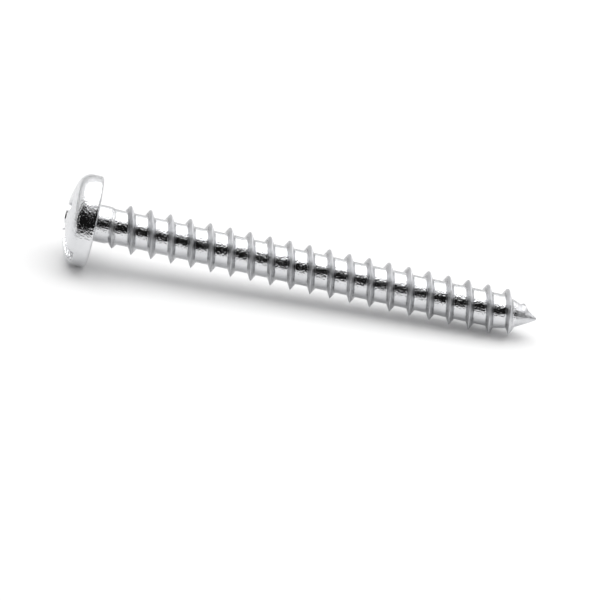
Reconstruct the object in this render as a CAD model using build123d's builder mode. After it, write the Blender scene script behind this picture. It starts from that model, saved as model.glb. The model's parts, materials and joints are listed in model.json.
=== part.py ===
"""A pan-head sheet metal screw, cold headed and thread rolled from one length of steel wire.

The screw is made along its own axis: the bearing face of the head lies at x = 0, the dome points to -X
and the gimlet point to +X. At the end it is laid down as it rests on a table, on the rim of its head and
the crest of its thread, with the origin on the table under the middle of it. All sizes are millimetres.
"""

import os
from math import asin, atan2, ceil, cos, degrees, hypot, pi, radians, sin, tan

from build123d import *

# ---------------------------------------------------------------- driving dimensions
INCH = 25.4

LENGTH = 51.3  # from the bearing face to the tip of the point
THREADS_PER_INCH = 11  # one ridge, right-hand
MAJOR_DIAMETER = 5.46  # over the crests of the thread
ROOT_DIAMETER = 3.94  # between the threads
NECK_DIAMETER = 4.26  # the plain neck under the head
NECK_LENGTH = 1.5  # the plain neck, up to where the rolled part starts
NECK_TAPER = 0.5  # the cone from the neck down to the root
NECK_FILLET = 0.25  # where the neck meets the bearing face

HEAD_DIAMETER = 10.55  # over the rim
HEAD_HEIGHT = 3.50  # from the bearing face to the top of the dome
DOME_RADIUS = 12.0  # of the sphere that the middle of the dome is part of
RIM_CORNER = 0.40  # rounding where the side meets the bearing face
SHOULDER_RADIUS = 1.60  # rounding where the side of the head turns into the dome

CREST_FLAT = 0.10  # width of the thread's crest
FLANK_ANGLE = 30.0  # each flank, from square to the axis
THREAD_START = 1.15  # where the ridge starts to rise, from the bearing face
RUNOUT_LENGTH = 2.70  # over which the ridge rises to its full height
THREAD_END = 1.25  # where the ridge has sunk into the point, from the tip
CREST_TAPER = 4.40  # where the crest starts to close in on the point, from the tip
CREST_TAPER_RUN = 3.70  # over which the crest would close in to the axis
CREST_TAPER_POWER = 2.7  # how late it closes in: 1 would be a straight cone
THREAD_TURN = -134.6  # where round the axis the ridge starts, from +Y towards +Z
RIDGE_EMBED = 0.16  # how deep the foot of the ridge lies inside the core
STEPS_PER_TURN = 16  # points of each rail of the ridge

GIMLET_LENGTH = 4.6  # the tapered point
GIMLET_POWER = 1.7  # how full the point is: 1 would be a straight cone
GIMLET_STEPS = 8  # points of its outline
NOSE_RADIUS = 0.10  # the flat at the very tip

SLOT_WIDTH = 1.60  # a slot right across the dome
SLOT_DEPTH = 1.70  # floor of the slot, under the top of the dome
RECESS_SPAN = 6.25  # across two opposite wings, level with the top of the dome
RECESS_DEPTH = 3.00  # bottom of the wings, under the top of the dome
WING_WIDTH = 1.15  # of each wing of the cross
WING_SLOPE = 26.5  # slope of the outer end of a wing, from the axis
CORE_DIAMETER = 3.30  # the round middle of the recess, level with the top of the dome
CORE_BOTTOM_DIAMETER = 1.80  # the round middle at the bottom of the wings
CORE_TIP = 0.35  # depth of the cone under the bottom of the wings
DRIVE_TURN = 33.0  # how far the slot is turned about the axis, from level

# ---------------------------------------------------------------- values that follow
pitch = INCH / THREADS_PER_INCH
major_radius = MAJOR_DIAMETER / 2
root_radius = ROOT_DIAMETER / 2
neck_radius = NECK_DIAMETER / 2
head_radius = HEAD_DIAMETER / 2
gimlet_start = LENGTH - GIMLET_LENGTH
crest_taper_start = LENGTH - CREST_TAPER
thread_end = LENGTH - THREAD_END
turns = (thread_end - THREAD_START) / pitch


def core_radius(x):
    """Radius of the core under the thread, level and then tapering to the point."""
    along = max(0.0, (x - gimlet_start) / GIMLET_LENGTH)
    return NOSE_RADIUS + (root_radius - NOSE_RADIUS) * (1 - along**GIMLET_POWER)


def crest_radius(x):
    """Radius of the crest: it rises out of the neck, runs level and closes in on the point."""
    rise = min(1.0, max(0.0, (x - THREAD_START) / RUNOUT_LENGTH))
    closing = max(0.0, (x - crest_taper_start) / CREST_TAPER_RUN)
    level = root_radius + (major_radius - root_radius) * sin(rise * pi / 2)
    return level * (1 - closing**CREST_TAPER_POWER)


def turn_at(x):
    """Angle of the thread about the axis at x, from +Y towards +Z, in radians: a right-hand thread."""
    return 2 * pi * x / pitch + radians(THREAD_TURN)


def on_thread(x, shift, radius):
    """A point in the radial plane of the thread at x, moved along the axis by shift."""
    return Vector(x + shift, radius * cos(turn_at(x)), radius * sin(turn_at(x)))


def thread_ridge():
    """The ridge of the thread, one closed solid. Four rails run along it, two on the crest and two
    at the foot, inside the core. The faces between neighbouring rails are split once a turn."""
    steps = ceil(turns * STEPS_PER_TURN)
    half_crest = CREST_FLAT / 2
    rails = {"crest_back": [], "crest_front": [], "foot_front": [], "foot_back": []}
    for step in range(steps + 1):
        x = THREAD_START + (thread_end - THREAD_START) * step / steps
        crest = crest_radius(x)
        height = crest - core_radius(x) + RIDGE_EMBED
        half_foot = half_crest + height * tan(radians(FLANK_ANGLE))
        rails["crest_back"].append(on_thread(x, -half_crest, crest))
        rails["crest_front"].append(on_thread(x, half_crest, crest))
        for name, shift in (("foot_front", half_foot), ("foot_back", -half_foot)):
            rails[name].append(on_thread(x, shift, core_radius(x + shift) - RIDGE_EMBED))
    parameters = [step / steps for step in range(steps + 1)]
    edges = [Edge.make_spline(points, parameters=parameters) for points in rails.values()]
    pieces = ceil(turns)
    faces = []
    for piece in range(pieces):
        spans = [edge.trim(piece / pieces, (piece + 1) / pieces) for edge in edges]
        faces += [Face.make_surface_from_curves(a, b) for a, b in zip(spans, spans[1:] + spans[:1])]
    for end in (0, 1):
        faces.append(Face(Wire.make_polygon([edge @ end for edge in edges], close=True)))
    return Solid(Shell(faces))


def plain_screw():
    """The head, neck, core and point of the screw, without its thread and drive."""
    brow = (DOME_RADIUS - HEAD_HEIGHT - (DOME_RADIUS**2 - head_radius**2) ** 0.5, head_radius)
    rim = (0, head_radius)
    root_of_neck = (0, neck_radius)
    with BuildPart() as body:
        with BuildSketch(Plane.XY) as section:
            with BuildLine():
                RadiusArc((-HEAD_HEIGHT, 0), brow, DOME_RADIUS)
                Polyline(
                    brow,
                    rim,
                    root_of_neck,
                    (NECK_LENGTH, neck_radius),
                    (NECK_LENGTH + NECK_TAPER, root_radius),
                    (gimlet_start, root_radius),
                )
                taper = [gimlet_start + GIMLET_LENGTH * step / GIMLET_STEPS for step in range(GIMLET_STEPS + 1)]
                Spline([(x, core_radius(x)) for x in taper])
                Polyline((LENGTH, NOSE_RADIUS), (LENGTH, 0), (-HEAD_HEIGHT, 0))
            make_face()
            for corner, radius in ((brow, SHOULDER_RADIUS), (rim, RIM_CORNER), (root_of_neck, NECK_FILLET)):
                fillet(section.vertices().sort_by_distance(corner)[0], radius)
        revolve(axis=Axis.X)
    return body.part


def drive_recess():
    """What the combination drive takes out of the head: a slot right across the dome, and a cross
    whose wings taper inwards to a round, tapered core. It reaches above the dome by the slot's depth."""
    turn = radians(DRIVE_TURN)
    along_slot = Vector(0, cos(turn), sin(turn))
    across_slot = Vector(0, -sin(turn), cos(turn))
    top = Vector(-HEAD_HEIGHT, 0, 0)
    outwards = Vector(-1, 0, 0)
    wing_slope = tan(radians(WING_SLOPE))
    core_slope = (CORE_DIAMETER - CORE_BOTTOM_DIAMETER) / 2 / RECESS_DEPTH
    half_bottom = RECESS_SPAN / 2 - RECESS_DEPTH * wing_slope
    half_top = RECESS_SPAN / 2 + SLOT_DEPTH * wing_slope
    bottom_x = -HEAD_HEIGHT + RECESS_DEPTH
    above_x = -HEAD_HEIGHT - SLOT_DEPTH
    with BuildPart() as drive:
        with BuildSketch(Plane(top, x_dir=along_slot, z_dir=outwards).offset(-SLOT_DEPTH)):
            Rectangle(2 * HEAD_DIAMETER, SLOT_WIDTH)
        extrude(amount=2 * SLOT_DEPTH)
        for along, across in ((along_slot, -across_slot), (across_slot, along_slot)):
            with BuildSketch(Plane(top, x_dir=along, z_dir=across)):
                with BuildLine():
                    Polyline(
                        (-half_top, -SLOT_DEPTH),
                        (half_top, -SLOT_DEPTH),
                        (half_bottom, RECESS_DEPTH),
                        (-half_bottom, RECESS_DEPTH),
                        close=True,
                    )
                make_face()
            extrude(amount=WING_WIDTH / 2, both=True)
        with BuildSketch(Plane.XY):
            with BuildLine():
                Polyline(
                    (above_x, 0),
                    (above_x, CORE_DIAMETER / 2 + SLOT_DEPTH * core_slope),
                    (bottom_x, CORE_BOTTOM_DIAMETER / 2),
                    (bottom_x + CORE_TIP, 0),
                    close=True,
                )
            make_face()
        revolve(axis=Axis.X)
    return drive.part


def resting_tilt():
    """The lean at which the screw rests, in radians, and the point of its thread that touches the
    table, as a distance along the axis and a radius. The table touches the rounded rim and, of the
    crests that come round to the underside, the one that gives the least lean. It touches the front
    edge of that crest, which the lean brings lowest."""
    first = ceil(turn_at(THREAD_START + RUNOUT_LENGTH) / (2 * pi) + 0.25)
    last = int(turn_at(thread_end) / (2 * pi) + 0.25)
    rests = []
    for turn in range(first, last + 1):
        x = ((turn - 0.25) * 2 * pi - radians(THREAD_TURN)) * pitch / (2 * pi)
        front = x + CREST_FLAT / 2
        along = front + RIM_CORNER
        drop = head_radius - RIM_CORNER - crest_radius(x)
        tilt = atan2(drop, along) + asin(RIM_CORNER / hypot(along, drop))
        rests.append((tilt, front, crest_radius(x)))
    return min(rests)


with BuildPart() as screw:
    add(plain_screw())
    add(thread_ridge())
    add(drive_recess(), mode=Mode.SUBTRACT)

tilt, contact_x, contact_radius = resting_tilt()
laid = screw.part.rotate(Axis.Y, degrees(tilt))
box = laid.bounding_box()
height = contact_x * sin(tilt) + contact_radius * cos(tilt)
bearing_x = -(box.min.X + box.max.X) / 2
laid = laid.moved(Location((bearing_x, 0, height)))
laid.label = "screw"
print(f"lean {degrees(tilt):.3f} degrees, bearing face centre at x {bearing_x:.4f}, z {height:.4f}")

os.makedirs("parts", exist_ok=True)
export_step(laid, "parts/screw.step")
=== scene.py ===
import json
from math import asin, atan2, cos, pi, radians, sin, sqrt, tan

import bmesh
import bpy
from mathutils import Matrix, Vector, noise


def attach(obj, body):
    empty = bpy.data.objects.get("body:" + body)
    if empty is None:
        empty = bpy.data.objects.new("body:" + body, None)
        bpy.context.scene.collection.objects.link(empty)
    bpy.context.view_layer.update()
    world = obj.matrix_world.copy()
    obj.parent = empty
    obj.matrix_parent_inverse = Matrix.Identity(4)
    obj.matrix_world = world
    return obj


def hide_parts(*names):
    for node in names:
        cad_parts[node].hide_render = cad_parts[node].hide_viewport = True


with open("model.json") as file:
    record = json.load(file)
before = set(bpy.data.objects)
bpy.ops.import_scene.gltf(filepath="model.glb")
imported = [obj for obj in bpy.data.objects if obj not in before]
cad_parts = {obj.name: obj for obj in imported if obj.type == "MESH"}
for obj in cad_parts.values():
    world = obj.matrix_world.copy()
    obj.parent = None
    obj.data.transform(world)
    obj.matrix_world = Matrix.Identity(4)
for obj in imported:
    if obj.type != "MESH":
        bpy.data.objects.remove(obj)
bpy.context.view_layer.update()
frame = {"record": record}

# %% [markdown]
# ## A sheet metal screw
# The real screw is one piece of steel wire. A press heads one end of the wire and punches the drive
# recess into it, and two dies roll the thread and the point. Then it is plated with bright zinc.
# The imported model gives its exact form, but as loose triangles with hard edges. Here the same form is
# modelled again as one clean surface with rounded crests, feet and lips, the small unevenness that
# heading and rolling leave, and the sheen of the plating.

MM = 0.001
TOUCHING = 0.002 * MM

# %% [markdown]
# ## Sizes
# The screw is made along its own axis, with the bearing face of the head at x = 0, the dome towards
# -X and the point towards +X, and laid down at the end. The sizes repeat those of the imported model.
# Its mounts give the axis and the middle of the bearing face, so the two lie in the same place.

# %% sizes, in metres
LENGTH = 51.3 * MM
PITCH = 25.4 / 11 * MM
MAJOR_RADIUS = 2.73 * MM
ROOT_RADIUS = 1.97 * MM
NECK_RADIUS = 2.13 * MM
NECK_LENGTH = 1.5 * MM
NECK_TAPER = 0.5 * MM
NECK_FILLET = 0.25 * MM
HEAD_RADIUS = 5.275 * MM
HEAD_HEIGHT = 3.5 * MM
DOME_RADIUS = 12.0 * MM
RIM_CORNER = 0.40 * MM
SHOULDER_RADIUS = 1.6 * MM
THREAD_START = 1.15 * MM
RUNOUT_LENGTH = 2.7 * MM
THREAD_END = 1.25 * MM
CREST_TAPER = 4.4 * MM
CREST_TAPER_RUN = 3.7 * MM
CREST_TAPER_POWER = 2.7
THREAD_TURN = radians(-134.6)
GIMLET_LENGTH = 4.6 * MM
GIMLET_POWER = 1.7
NOSE_RADIUS = 0.10 * MM
SLOT_WIDTH = 1.6 * MM
SLOT_DEPTH = 1.7 * MM
RECESS_SPAN = 6.25 * MM
RECESS_DEPTH = 3.0 * MM
WING_WIDTH = 1.15 * MM
WING_SLOPE = radians(26.5)
CORE_RADIUS = 1.65 * MM
CORE_BOTTOM_RADIUS = 0.9 * MM
CORE_TIP = 0.35 * MM
DRIVE_TURN = radians(33.0)

mounts = {mount["name"]: mount for mount in frame["record"]["mounts"]}
seat = Vector(mounts["thread"]["pos_m"])
axis = Vector(mounts["thread"]["axis"]).normalized()
lean = atan2(-axis.z, axis.x)
lay_down = Matrix.Translation(seat) @ Matrix.Rotation(lean, 4, "Y")
print("the screw leans", round(lean * 180 / pi, 3), "degrees")

# %% [markdown]
# ## The threaded shank
# A rolled thread is one ridge that winds round the core. Modelling single rings and joining them
# would never give the lead of the thread, and a Screw modifier can't end in a point. So one pitch of
# its outline is drawn, from the middle of one valley to the middle of the next, and bmesh.ops.spin
# carries it round the axis with a small step along it (dvec). After each turn the end of one pitch
# meets the start of the next. Small errors add up over many steps, so one turn is wound and copied
# along the axis by whole pitches, and merging the doubles closes the surface.

# %% the outline of one pitch of thread
FLANK = radians(30.0)
HALF_CREST = 0.03 * MM
CREST_ROUND = 0.026 * MM
FOOT_ROUND = 0.10 * MM
STEPS_PER_TURN = 90
TURNS = 24


def wire(bm, points):
    """Vertices joined by edges in a row, in the plane of x and y."""
    verts = [bm.verts.new((x, y, 0.0)) for x, y in points]
    edges = [bm.edges.new(pair) for pair in zip(verts, verts[1:])]
    return verts, edges


def round_corners(bm, corners):
    """Rounds single corners of a wire: (vertex, cut back along each edge, segments)."""
    for vert, cut, segments in corners:
        bmesh.ops.bevel(
            bm, geom=[vert], offset=cut, segments=segments, affect="VERTICES", profile=0.5, material=-1
        )


shank = bmesh.new()
first_crest = -THREAD_TURN * PITCH / (2 * pi) - PITCH
half_foot = HALF_CREST + (MAJOR_RADIUS - ROOT_RADIUS) * tan(FLANK)
outline = [
    (-PITCH / 2, ROOT_RADIUS),
    (-(half_foot + PITCH / 2) / 2 - FOOT_ROUND / 4, ROOT_RADIUS),
    (-half_foot, ROOT_RADIUS),
    (-HALF_CREST, MAJOR_RADIUS),
    (HALF_CREST, MAJOR_RADIUS),
    (half_foot, ROOT_RADIUS),
    ((half_foot + PITCH / 2) / 2 + FOOT_ROUND / 4, ROOT_RADIUS),
    (PITCH / 2, ROOT_RADIUS),
]
verts, _ = wire(shank, [(first_crest + x, r) for x, r in outline])
feet = [(verts[2], FOOT_ROUND, 3), (verts[5], FOOT_ROUND, 3)]
crests = [(verts[3], CREST_ROUND, 2), (verts[4], CREST_ROUND, 2)]
round_corners(shank, feet + crests)
print("outline of one pitch:", len(shank.verts), "points")

# %% winding the outline round the axis
bmesh.ops.spin(
    shank,
    geom=shank.verts[:] + shank.edges[:],
    cent=(0, 0, 0),
    axis=(1, 0, 0),
    dvec=(PITCH / STEPS_PER_TURN, 0, 0),
    angle=2 * pi,
    steps=STEPS_PER_TURN,
)
one_turn = shank.verts[:] + shank.edges[:] + shank.faces[:]
for turn in range(1, TURNS):
    copied = bmesh.ops.duplicate(shank, geom=one_turn)["geom"]
    copied_verts = [item for item in copied if isinstance(item, bmesh.types.BMVert)]
    bmesh.ops.translate(shank, verts=copied_verts, vec=(PITCH * turn, 0, 0))
bmesh.ops.remove_doubles(shank, verts=shank.verts[:], dist=TOUCHING)
print("wound thread:", len(shank.verts), "vertices")

# %% [markdown]
# ## Run-out and point
# The ridge rises out of the plain neck within about a turn, and at the other end it closes in on the
# gimlet point and fades before the tip. Each vertex keeps its place along the axis and is moved in
# or out: its height above the core is scaled by how tall the ridge is there. Rolling also leaves the
# core and the crest slightly uneven, by a hundredth of a millimetre or two, and this shows in the
# outline and in the reflections, so it is made in the mesh.


# %% core and ridge height along the screw
RIDGE_HEIGHT = MAJOR_RADIUS - ROOT_RADIUS
END_FADE = 0.3 * MM


def clamp(value):
    return min(1.0, max(0.0, value))


def core_radius(x):
    """Radius of the core at x: neck, cone, root, and the point."""
    if x < NECK_LENGTH + NECK_TAPER:
        down = clamp((x - NECK_LENGTH) / NECK_TAPER)
        return NECK_RADIUS + (ROOT_RADIUS - NECK_RADIUS) * down * down * (3 - 2 * down)
    along = clamp((x - LENGTH + GIMLET_LENGTH) / GIMLET_LENGTH)
    return NOSE_RADIUS + (ROOT_RADIUS - NOSE_RADIUS) * (1 - along**GIMLET_POWER)


def ridge_share(x):
    """Height of the ridge at x, as a share of its full height."""
    rise = clamp((x - THREAD_START) / RUNOUT_LENGTH)
    closing = max(0.0, (x - LENGTH + CREST_TAPER) / CREST_TAPER_RUN)
    crest = (ROOT_RADIUS + RIDGE_HEIGHT * sin(rise * pi / 2)) * (1 - closing**CREST_TAPER_POWER)
    share = max(0.0, crest - core_radius(x)) / RIDGE_HEIGHT
    return share * clamp((LENGTH - THREAD_END * 0.8 - x) / END_FADE)


print("share of the ridge along the screw:", [round(ridge_share(x * MM), 2) for x in (1, 2, 3, 25, 49, 50)])


# %% moving the vertices, and what the material needs to know of them
CORE_BUMPS = (0.9 * MM, 0.016 * MM)
CREST_BUMPS = (1.7 * MM, 0.02 * MM)
CREST_WEAR = 0.01 * MM
POINT_DULL = 3.2 * MM
RIDGE_DULL = 0.35


def uneven(co, size, height):
    """A smooth random height at a point, for bumps of that size."""
    return noise.noise(co / size) * height


# ridge: share of the ridge height, used for the roughness and for the painted shade of the flanks
ridge_layer = shank.verts.layers.float.new("ridge")
dull_layer = shank.verts.layers.float.new("dull")
for vert in shank.verts:
    x = vert.co.x
    ring = Vector((0, vert.co.y, vert.co.z))
    above = ring.length - ROOT_RADIUS
    share = above / RIDGE_HEIGHT
    vert[ridge_layer] = share * ridge_share(x)
    on_point = clamp((x - LENGTH + POINT_DULL) / (0.4 * POINT_DULL))
    vert[dull_layer] = max(min(1.0, vert[ridge_layer] / RIDGE_DULL), on_point)
    calm = clamp((LENGTH - x) / GIMLET_LENGTH)
    radius = core_radius(x) + above * ridge_share(x)
    radius += calm * (1 - share) * uneven(vert.co, *CORE_BUMPS)
    radius += calm * share * (uneven(vert.co, *CREST_BUMPS) - CREST_WEAR)
    ring = ring.normalized() * radius
    vert.co.y, vert.co.z = ring.y, ring.z
print("vertices moved:", len(shank.verts))

# %% cutting the ends square and closing the nose
NECK_CUT = 0.62 * MM
NOSE_CUT = 0.03 * MM


def open_edges(bm):
    return sum(not edge.is_manifold for edge in bm.edges)


def settle_order(bm):
    """Numbers a mesh by place. Cuts leave it in an order that changes from run to run."""

    def settle(items, place):
        rank = {item: number for number, item in enumerate(sorted(items, key=place))}
        items.sort(key=lambda item: rank[item])
        items.index_update()

    settle(bm.verts, lambda vert: tuple(vert.co))
    settle(bm.edges, lambda edge: sorted(vert.index for vert in edge.verts))
    settle(bm.faces, lambda face: sorted(vert.index for vert in face.verts))


def cut_square(bm, x, towards):
    """Cuts a mesh square to the axis at x and drops what lies on the side of towards."""
    bmesh.ops.bisect_plane(
        bm,
        geom=bm.verts[:] + bm.edges[:] + bm.faces[:],
        dist=0.0005 * MM,
        plane_co=(x, 0, 0),
        plane_no=(towards, 0, 0),
        clear_outer=True,
    )
    rims = [edge for edge in bm.edges if edge.is_boundary]
    return [edge for edge in rims if all(abs(vert.co.x - x) < TOUCHING / 2 for vert in edge.verts)]


cut_square(shank, NECK_CUT, -1)
nose = cut_square(shank, LENGTH - NOSE_CUT, 1)
made = bmesh.ops.extrude_edge_only(shank, edges=nose)["geom"]
tip_ring = [item for item in made if isinstance(item, bmesh.types.BMVert)]
bmesh.ops.pointmerge(shank, verts=tip_ring, merge_co=(LENGTH, 0, 0))
settle_order(shank)
print("shank:", len(shank.verts), "vertices,", open_edges(shank), "open edges at the neck")

# %% [markdown]
# ## The head
# The head is a turned form, so its outline is drawn once and spun round the axis: neck, fillet, flat
# bearing face, straight rim and dome. The shoulder and the dome are arcs, so their stretches of
# outline are a vertex spun round the centre of each. Beveling single vertices rounds the corners.
# The end at the neck gets a lid for now, because the Boolean that follows wants a closed solid.

# %% the outline of the head, spun round the axis
HEAD_SIDES = 128
DOME_STEPS = 16
SHOULDER_STEPS = 12
HEAD_CUT = 0.42 * MM

dome_centre = Vector((DOME_RADIUS - HEAD_HEIGHT, 0, 0))
shoulder_r = HEAD_RADIUS - SHOULDER_RADIUS
shoulder_reach = DOME_RADIUS - SHOULDER_RADIUS
shoulder_centre = Vector((dome_centre.x - sqrt(shoulder_reach**2 - shoulder_r**2), shoulder_r, 0))
dome_angle = asin(shoulder_r / shoulder_reach)

head = bmesh.new()
verts, _ = wire(
    head,
    [
        (HEAD_CUT, NECK_RADIUS),
        (0, NECK_RADIUS),
        (0, (NECK_RADIUS + HEAD_RADIUS) / 2),
        (0, HEAD_RADIUS),
        (shoulder_centre.x / 2, HEAD_RADIUS),
        (shoulder_centre.x, HEAD_RADIUS),
    ],
)
bent = bmesh.ops.spin(
    head,
    geom=[verts[5]],
    cent=shoulder_centre,
    axis=(0, 0, 1),
    angle=pi / 2 - dome_angle,
    steps=SHOULDER_STEPS,
)
top_of_shoulder = [item for item in bent["geom_last"] if isinstance(item, bmesh.types.BMVert)]
bmesh.ops.spin(
    head, geom=top_of_shoulder, cent=dome_centre, axis=(0, 0, 1), angle=dome_angle, steps=DOME_STEPS
)
apex = min(head.verts, key=lambda vert: vert.co.x)
print("apex of the dome, mm:", [round(v / MM, 4) for v in apex.co])
apex.co.y = 0.0
round_corners(
    head,
    [(verts[1], NECK_FILLET * 0.99, 4), (verts[3], RIM_CORNER, 6)],
)
bmesh.ops.spin(
    head,
    geom=head.verts[:] + head.edges[:],
    cent=(0, 0, 0),
    axis=(1, 0, 0),
    angle=2 * pi,
    steps=HEAD_SIDES,
    use_merge=True,
)
bmesh.ops.remove_doubles(head, verts=head.verts[:], dist=TOUCHING)
bmesh.ops.holes_fill(head, edges=[edge for edge in head.edges if edge.is_boundary], sides=0)
bmesh.ops.recalc_face_normals(head, faces=head.faces[:])
print("head:", len(head.verts), "vertices, volume mm3", round(head.calc_volume() / MM**3, 2))

# %% [markdown]
# ## The drive recess
# One punch makes both drives: a slot right across the dome, and a cross whose wings slope inwards to
# a tapered core. A Boolean modifier takes each of these punch shapes out of the head, which keeps
# the dome true round them. The punch has soft corners, so the cutters are beveled, and where steel
# was pushed aside the mouth of the recess has a small rounded lip, beveled afterwards.

# %% punch shapes
PUNCH_ABOVE = 1.0 * MM
CORE_SIDES = 40


def punch(name, bm):
    """Turns a shape, made with its depth along -Z and its slot along X, into a cutter on the head."""
    into_head = Matrix(((0, 0, -1, -HEAD_HEIGHT), (1, 0, 0, 0), (0, -1, 0, 0), (0, 0, 0, 1)))
    turned = Matrix.Rotation(DRIVE_TURN, 4, "X") @ into_head
    bmesh.ops.transform(bm, matrix=turned, verts=bm.verts[:])
    bmesh.ops.recalc_face_normals(bm, faces=bm.faces[:])
    mesh = bpy.data.meshes.new(name)
    bm.to_mesh(mesh)
    bm.free()
    return bpy.data.objects.new(name, mesh)


def tapered_block(half_top, half_bottom, width_top, width_bottom, depth, corner):
    """A block from PUNCH_ABOVE down to depth: half lengths and widths at its top and its bottom."""
    bm = bmesh.new()
    bmesh.ops.create_cube(bm, size=2.0)
    for vert in bm.verts:
        low = vert.co.z < 0
        vert.co.x *= half_bottom if low else half_top
        vert.co.y *= (width_bottom if low else width_top) / 2
        vert.co.z = -depth if low else PUNCH_ABOVE
    soft = [edge for edge in bm.edges if not all(vert.co.z > 0 for vert in edge.verts)]
    bmesh.ops.bevel(bm, geom=soft, offset=corner, segments=3, affect="EDGES", profile=0.5, material=-1)
    return bm


def wing_half(depth):
    """Half the length across two opposite wings, at a depth under the top of the dome."""
    return RECESS_SPAN / 2 - depth * tan(WING_SLOPE)


def wing_block(turn):
    """Two opposite wings of the cross, turned about the punch."""
    bm = tapered_block(
        wing_half(-PUNCH_ABOVE),
        wing_half(RECESS_DEPTH),
        WING_WIDTH + 0.04 * MM,
        WING_WIDTH - 0.10 * MM,
        RECESS_DEPTH,
        0.14 * MM,
    )
    bmesh.ops.rotate(bm, verts=bm.verts[:], cent=(0, 0, 0), matrix=Matrix.Rotation(turn, 3, "Z"))
    return bm


def core_cone():
    """The round, tapered middle of the cross."""
    bm = bmesh.new()
    slope = (CORE_RADIUS - CORE_BOTTOM_RADIUS) / RECESS_DEPTH
    verts, edges = wire(
        bm,
        [
            (0, PUNCH_ABOVE),
            (CORE_RADIUS + PUNCH_ABOVE * slope, PUNCH_ABOVE),
            (CORE_BOTTOM_RADIUS, -RECESS_DEPTH),
            (0, -RECESS_DEPTH - CORE_TIP),
        ],
    )
    bmesh.ops.rotate(bm, verts=bm.verts[:], cent=(0, 0, 0), matrix=Matrix.Rotation(pi / 2, 3, "X"))
    bmesh.ops.spin(
        bm, geom=verts + edges, cent=(0, 0, 0), axis=(0, 0, 1), angle=2 * pi, steps=CORE_SIDES, use_merge=True
    )
    bmesh.ops.remove_doubles(bm, verts=bm.verts[:], dist=TOUCHING)
    return bm


slot_half = 1.4 * HEAD_RADIUS
slot_block = tapered_block(slot_half, slot_half, SLOT_WIDTH, SLOT_WIDTH - 0.06 * MM, SLOT_DEPTH, 0.12 * MM)
cutters = [
    punch("punch_slot", slot_block),
    punch("punch_wings", wing_block(0.0)),
    punch("punch_cross_wings", wing_block(pi / 2)),
    punch("punch_core", core_cone()),
]
print("cutters:", [cutter.name for cutter in cutters])

# %% taking the punch shapes out of the head
head_mesh = bpy.data.meshes.new("head")
head.to_mesh(head_mesh)
head.free()
head_object = bpy.data.objects.new("head_blank", head_mesh)
work = [head_object, *cutters]
for item in work:
    bpy.context.scene.collection.objects.link(item)
for cutter in cutters:
    cut = head_object.modifiers.new(cutter.name, "BOOLEAN")
    cut.operation = "DIFFERENCE"
    cut.solver = "EXACT"
    cut.object = cutter
graph = bpy.context.evaluated_depsgraph_get()
cut_mesh = bpy.data.meshes.new_from_object(head_object.evaluated_get(graph))
for item in work:
    bpy.data.objects.remove(item)
head = bmesh.new()
head.from_mesh(cut_mesh)
settle_order(head)
bmesh.ops.remove_doubles(head, verts=head.verts[:], dist=1.5 * TOUCHING)
bmesh.ops.dissolve_degenerate(head, edges=head.edges[:], dist=1.5 * TOUCHING)
print("head with its recess, mm3:", round(head.calc_volume() / MM**3, 2), "open edges", open_edges(head))

# %% the lip round the recess, and the painted shade inside it
LIP = 0.05 * MM
RECESS_SHADE_FADE = 0.8 * MM


def under_surface(co):
    """How far a point lies under the dome or the shoulder."""
    ring = Vector((0, co.y, co.z)).length
    if ring < DOME_RADIUS * sin(dome_angle):
        return DOME_RADIUS - (co - dome_centre).length
    return SHOULDER_RADIUS - (Vector((co.x, ring, 0)) - shoulder_centre).length


def on_mouth(edge):
    """True for an edge where the recess opens on the dome or the shoulder."""
    if len(edge.link_faces) != 2 or edge.calc_face_angle() < radians(20):
        return False
    return all(abs(under_surface(vert.co)) < 0.03 * MM for vert in edge.verts)


mouth = [edge for edge in head.edges if on_mouth(edge)]
bmesh.ops.bevel(
    head, geom=mouth, offset=LIP, segments=2, affect="EDGES", profile=0.5, material=-1, clamp_overlap=False
)
bmesh.ops.remove_doubles(head, verts=head.verts[:], dist=TOUCHING)
# painted shade: 0 at the mouth of the drive, rising to 1 deep inside, to paint the inside darker
recess_shade_layer = head.verts.layers.float.new("recess")
for vert in head.verts:
    if vert.co.x < -RIM_CORNER:
        vert[recess_shade_layer] = clamp((under_surface(vert.co) - LIP) / RECESS_SHADE_FADE)
print("mouth edges:", len(mouth), "head faces:", len(head.faces), "open edges", open_edges(head))

# %% [markdown]
# ## One piece
# The lid comes off the neck, and bridge_loops joins the head to the shank a little under the fillet,
# where both are plain round wire. The joined mesh is laid down with the lean and the place that the
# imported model's mounts give, so the object itself stays at the origin.

# %% joining head and shank
lid = [face for face in head.faces if all(abs(vert.co.x - HEAD_CUT) < TOUCHING for vert in face.verts)]
bmesh.ops.delete(head, geom=lid, context="FACES_ONLY")
head_part = bpy.data.meshes.new("head_part")
head.to_mesh(head_part)
head.free()
shank.from_mesh(head_part)
rings = [edge for edge in shank.edges if edge.is_boundary]
print("open edges before bridging:", len(rings))
bmesh.ops.bridge_loops(shank, edges=rings)
bmesh.ops.triangulate(shank, faces=[face for face in shank.faces if len(face.verts) > 4])
bmesh.ops.recalc_face_normals(shank, faces=shank.faces[:])
settle_order(shank)
print("whole screw, mm3:", round(shank.calc_volume() / MM**3, 2), "open edges", open_edges(shank))

# %% laying it down
SHARP = radians(40)
for face in shank.faces:
    face.smooth = True
for edge in shank.edges:
    edge.smooth = edge.calc_face_angle() < SHARP
bmesh.ops.transform(shank, matrix=lay_down, verts=shank.verts[:])
lowest = min(vert.co.z for vert in shank.verts)
print("lowest point, mm:", round(lowest / MM, 4))
screw_mesh = bpy.data.meshes.new("zinc_plated_screw")
shank.to_mesh(screw_mesh)
shank.free()
screw = bpy.data.objects.new("zinc_plated_screw", screw_mesh)
bpy.context.scene.collection.objects.link(screw)
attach(screw, "root")
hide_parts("screw")
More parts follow.
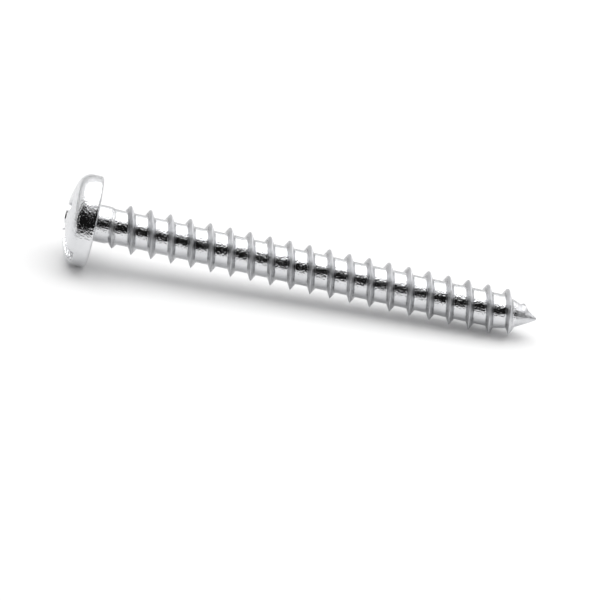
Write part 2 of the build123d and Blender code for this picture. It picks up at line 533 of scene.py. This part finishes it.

# %% [markdown]
# ## Bright zinc plating
# The plating is thin, so the steel's own surface shows through it: fine pits and orange peel where
# the wire was drawn and rolled, and faint lines round the screw. They break the reflections into
# flecks. Fine noise bends the surface normal through a Bump node, and two coarser noises vary the
# tone and the roughness a little. The texture follows the screw's own axis, so a Mapping node turns
# the object's coordinates by its lean. Three values that the mesh carries do the rest: "dull" marks
# the ridge and the point, which rolling leaves rougher, "ridge" darkens the flanks with a painted
# shade between the ridges, and "recess" darkens the inside of the drive with a painted shade.


# %% helpers for node trees
def socket(group, name, kind, direction, default=None):
    """A named input or output of a node group."""
    item = group.interface.new_socket(name=name, socket_type=kind, in_out=direction)
    if default is not None:
        item.default_value = default
    return item


def add_node(tree, kind, **inputs):
    """A node of a kind, with its inputs set or linked by name or number."""
    made = tree.nodes.new(kind)
    for key, value in inputs.items():
        numbered = key[0] == "i" and key[1:].isdigit()
        target = made.inputs[int(key[1:]) if numbered else key.replace("_", " ")]
        if isinstance(value, bpy.types.NodeSocket):
            tree.links.new(value, target)
        else:
            target.default_value = value
    return made


def blend_numbers(tree, kind, a, b):
    """One Math node, such as ADD or MULTIPLY."""
    made = add_node(tree, "ShaderNodeMath", i0=a, i1=b)
    made.operation = kind
    return made.outputs[0]


# %% the plated surface, as a group
def plated_surface():
    """Group: from coordinates along the screw, in metres, to tone, roughness and height."""
    group = bpy.data.node_groups.new("plated_surface", "ShaderNodeTree")
    socket(group, "Vector", "NodeSocketVector", "INPUT")
    socket(group, "Fleck Scale", "NodeSocketFloat", "INPUT", 3000.0)
    socket(group, "Roughness", "NodeSocketFloat", "INPUT", 0.15)
    socket(group, "Tone", "NodeSocketFloat", "OUTPUT")
    socket(group, "Roughness", "NodeSocketFloat", "OUTPUT")
    socket(group, "Height", "NodeSocketFloat", "OUTPUT")
    entry = group.nodes.new("NodeGroupInput")
    leave = group.nodes.new("NodeGroupOutput")
    place = entry.outputs["Vector"]
    noise_kind = "ShaderNodeTexNoise"
    size = entry.outputs["Fleck Scale"]
    flecks = add_node(group, noise_kind, Vector=place, Scale=size, Detail=2.0, Roughness=0.5)
    peel = add_node(group, noise_kind, Vector=place, Scale=900.0, Detail=2.0, Roughness=0.5)
    stretched = add_node(group, "ShaderNodeVectorMath", i0=place, i1=(6.0, 0.5, 0.5))
    stretched.operation = "MULTIPLY"
    lines = add_node(group, noise_kind, Vector=stretched.outputs[0], Scale=1100.0, Detail=1.0, Roughness=0.5)
    cloud = add_node(group, noise_kind, Vector=place, Scale=350.0, Detail=4.0, Roughness=0.6)
    tone = add_node(group, "ShaderNodeMapRange", Value=cloud.outputs["Fac"], i1=0.3, i2=0.7, i3=0.0, i4=1.0)
    group.links.new(tone.outputs[0], leave.inputs["Tone"])
    spread = add_node(group, "ShaderNodeMapRange", Value=peel.outputs["Fac"], i1=0.3, i2=0.7, i3=-0.04, i4=0.05)
    rough = blend_numbers(group, "ADD", spread.outputs[0], entry.outputs["Roughness"])
    group.links.new(rough, leave.inputs["Roughness"])
    fine = blend_numbers(group, "MULTIPLY", flecks.outputs["Fac"], 1.02)
    line = blend_numbers(group, "MULTIPLY", lines.outputs["Fac"], 0.12)
    total = blend_numbers(group, "ADD", blend_numbers(group, "ADD", fine, peel.outputs["Fac"]), line)
    group.links.new(total, leave.inputs["Height"])
    return group


surface_group = plated_surface()
print("group sockets:", [item.name for item in surface_group.interface.items_tree])

# %% what the mesh carries, ramps and products
def attribute(tree, name):
    """A value that the mesh carries at its vertices."""
    made = tree.nodes.new("ShaderNodeAttribute")
    made.attribute_name = name
    return made.outputs["Fac"]


def colour_ramp(tree, value, stops):
    """A ramp through stops, each a (position, colour)."""
    made = add_node(tree, "ShaderNodeValToRGB", Fac=value)
    elements = made.color_ramp.elements
    for number, (position, colour) in enumerate(stops):
        element = elements[number] if number < 2 else elements.new(position)
        element.position = position
        element.color = (*colour, 1.0)
    return made.outputs["Color"]


def multiply_colours(tree, a, b):
    made = tree.nodes.new("ShaderNodeMix")
    made.data_type = "RGBA"
    made.blend_type = "MULTIPLY"
    made.inputs["Factor"].default_value = 1.0
    tree.links.new(a, made.inputs["A"])
    tree.links.new(b, made.inputs["B"])
    return made.outputs["Result"]


# %% the material
POLISHED, ROLLED = 0.12, 0.38
# painted shade: how dark the inside of the drive is painted
RECESS_SHADE_TONE = 0.35

zinc = bpy.data.materials.new("bright_zinc_plating")
zinc.use_nodes = True
tree = zinc.node_tree
shader = tree.nodes["Principled BSDF"]
shader.inputs["Metallic"].default_value = 1.0
coordinates = tree.nodes.new("ShaderNodeTexCoord")
along = add_node(tree, "ShaderNodeMapping", Vector=coordinates.outputs["Object"], Rotation=(0.0, -lean, 0.0))
surface = tree.nodes.new("ShaderNodeGroup")
surface.node_tree = surface_group
surface.inputs["Fleck Scale"].default_value = 4600.0
dull = add_node(tree, "ShaderNodeMapRange", Value=attribute(tree, "dull"), To_Min=POLISHED, To_Max=ROLLED)
tree.links.new(dull.outputs["Result"], surface.inputs["Roughness"])
tree.links.new(along.outputs[0], surface.inputs["Vector"])
colour = colour_ramp(tree, surface.outputs["Tone"], [(0.0, (0.64, 0.645, 0.66)), (1.0, (0.74, 0.745, 0.76))])
# painted shade: the flanks between the ridges are painted darker than the valley floor and the crest
flank_shade_greys = [(0.03, (1.0, 1.0, 1.0)), (0.30, (0.72, 0.72, 0.72)), (0.97, (0.9, 0.9, 0.9))]
colour = multiply_colours(tree, colour, colour_ramp(tree, attribute(tree, "ridge"), flank_shade_greys))
# painted shade inside the drive, from the recess value
depth = add_node(tree, "ShaderNodeMapRange", Value=attribute(tree, "recess"), To_Min=1.0, To_Max=RECESS_SHADE_TONE)
colour = multiply_colours(tree, colour, depth.outputs["Result"])
tree.links.new(colour, shader.inputs["Base Color"])
tree.links.new(surface.outputs["Roughness"], shader.inputs["Roughness"])
bump = add_node(tree, "ShaderNodeBump", Strength=1.0, Distance=0.06 * MM, Height=surface.outputs["Height"])
tree.links.new(bump.outputs["Normal"], shader.inputs["Normal"])
screw.data.materials.append(zinc)
print("material on the screw:", zinc.name)

# %% [markdown]
# ## The studio
# Polished metal shows its surroundings more than its own colour. A screw is photographed on a white
# sweep under a wide soft light, and the dark room on the viewer's side gives the black
# band along the shank. So there is a white floor, a broad soft light above, and dark boards that
# only reflections see: one low ring all round, a taller one on the side that is looked from, and a
# flat one in front of the screw.

# %% floor
floor_bm = bmesh.new()
bmesh.ops.create_grid(floor_bm, x_segments=1, y_segments=1, size=0.6)
floor_mesh = bpy.data.meshes.new("floor")
floor_bm.to_mesh(floor_mesh)
floor_bm.free()
floor = bpy.data.objects.new("floor", floor_mesh)
bpy.context.scene.collection.objects.link(floor)
paper = bpy.data.materials.new("white_paper")
paper.use_nodes = True
paper_shader = paper.node_tree.nodes["Principled BSDF"]
paper_shader.inputs["Base Color"].default_value = (0.97, 0.97, 0.97, 1.0)
paper_shader.inputs["Roughness"].default_value = 0.9
paper_shader.inputs["Specular IOR Level"].default_value = 0.1
floor.data.materials.append(paper)
print("floor, m:", [round(v, 2) for v in floor.dimensions])


# %% dark boards
def board(name, low, high, start, sweep, material):
    """Part of a ring round the screw, from start over sweep, between two (distance, height)."""
    bm = bmesh.new()
    verts = [bm.verts.new((distance, 0, height)) for distance, height in (low, high)]
    edge = bm.edges.new(verts)
    bmesh.ops.rotate(bm, verts=verts, cent=(0, 0, 0), matrix=Matrix.Rotation(radians(start), 3, "Z"))
    bmesh.ops.spin(bm, geom=[*verts, edge], cent=(0, 0, 0), axis=(0, 0, 1), angle=radians(sweep), steps=48)
    mesh = bpy.data.meshes.new(name)
    bm.to_mesh(mesh)
    bm.free()
    made = bpy.data.objects.new(name, mesh)
    bpy.context.scene.collection.objects.link(made)
    made.data.materials.append(material)
    made.visible_camera = False
    made.visible_diffuse = False
    made.visible_shadow = False
    return made


def cloth(name, grey):
    """A matt cloth of an even grey."""
    made = bpy.data.materials.new(name)
    made.use_nodes = True
    shader = made.node_tree.nodes["Principled BSDF"]
    shader.inputs["Base Color"].default_value = (grey, grey, grey, 1.0)
    shader.inputs["Roughness"].default_value = 1.0
    shader.inputs["Specular IOR Level"].default_value = 0.0
    return made


black_cloth = cloth("black_cloth", 0.01)
grey_cloth = cloth("grey_cloth", 0.2)
board("low_ring", (0.5, 0.013), (0.5, 0.09), 0.0, 360.0, grey_cloth)
board("camera_side_board", (0.45, 0.0), (0.27, 0.36), -170.0, 160.0, black_cloth)
board("front_cloth", (0.05, 0.0006), (0.45, 0.0006), -160.0, 140.0, black_cloth)


# %% lights
ROOM_LIGHT = 0.6


def soft_light(name, size, place, target, watts):
    """A rectangular lamp at a place, turned to a target."""
    data = bpy.data.lights.new(name, "AREA")
    data.shape = "RECTANGLE"
    data.size, data.size_y = size
    data.energy = watts
    lamp = bpy.data.objects.new(name, data)
    lamp.location = place
    lamp.rotation_euler = (Vector(target) - Vector(place)).to_track_quat("-Z", "Y").to_euler()
    bpy.context.scene.collection.objects.link(lamp)
    return lamp


soft_light("overhead_softbox", (0.9, 0.7), (0.0, 0.12, 0.55), (0, 0, 0), 2.9)

world = bpy.data.worlds.new("studio")
bpy.context.scene.world = world
world.use_nodes = True
sky = world.node_tree
background = sky.nodes["Background"]
background.inputs["Color"].default_value = (1, 1, 1, 1)
paths = sky.nodes.new("ShaderNodeLightPath")
seen = blend_numbers(sky, "MAXIMUM", paths.outputs["Is Camera Ray"], paths.outputs["Is Glossy Ray"])
seen = blend_numbers(sky, "MAXIMUM", seen, paths.outputs["Is Transmission Ray"])
strength = add_node(sky, "ShaderNodeMapRange", Value=seen, i1=0.0, i2=1.0, i3=ROOM_LIGHT, i4=1.0)
sky.links.new(strength.outputs[0], background.inputs["Strength"])
bpy.context.scene.view_settings.view_transform = "Standard"

# %% [markdown]
# ## The camera
# A long lens looks down at the screw from its side at 25 degrees, turned a little so that the dome
# just shows, and is rolled so that the screw runs down to the right across the picture.

# %% camera
CAMERA_ELEVATION = radians(25.0)
CAMERA_AZIMUTH = radians(3.545)
CAMERA_ROLL = radians(11.057)
CAMERA_DISTANCE = 0.9
FOCAL_LENGTH = 7947.7
PICTURE_WIDTH = 600
AIM = (-0.12 * MM, -3.715 * MM)

forward = Vector((
    sin(CAMERA_AZIMUTH) * cos(CAMERA_ELEVATION),
    cos(CAMERA_AZIMUTH) * cos(CAMERA_ELEVATION),
    -sin(CAMERA_ELEVATION),
))
level = Vector((cos(CAMERA_AZIMUTH), -sin(CAMERA_AZIMUTH), 0))
upright = level.cross(forward)
right = level * cos(CAMERA_ROLL) + upright * sin(CAMERA_ROLL)
up = upright * cos(CAMERA_ROLL) - level * sin(CAMERA_ROLL)
aim = Vector((0, 0, 4.0 * MM)) + right * AIM[0] + up * AIM[1]
camera_data = bpy.data.cameras.new("camera")
camera_data.sensor_width = 36.0
camera_data.lens = FOCAL_LENGTH * camera_data.sensor_width / PICTURE_WIDTH
camera_data.clip_start, camera_data.clip_end = 0.05, 10.0
camera = bpy.data.objects.new("camera", camera_data)
turn = Matrix((right, up, -forward)).transposed().to_4x4()
camera.matrix_world = Matrix.Translation(aim - forward * CAMERA_DISTANCE) @ turn
bpy.context.scene.collection.objects.link(camera)
bpy.context.scene.camera = camera
print("lens, mm:", round(camera_data.lens, 1), "camera at", [round(v, 3) for v in camera.location])
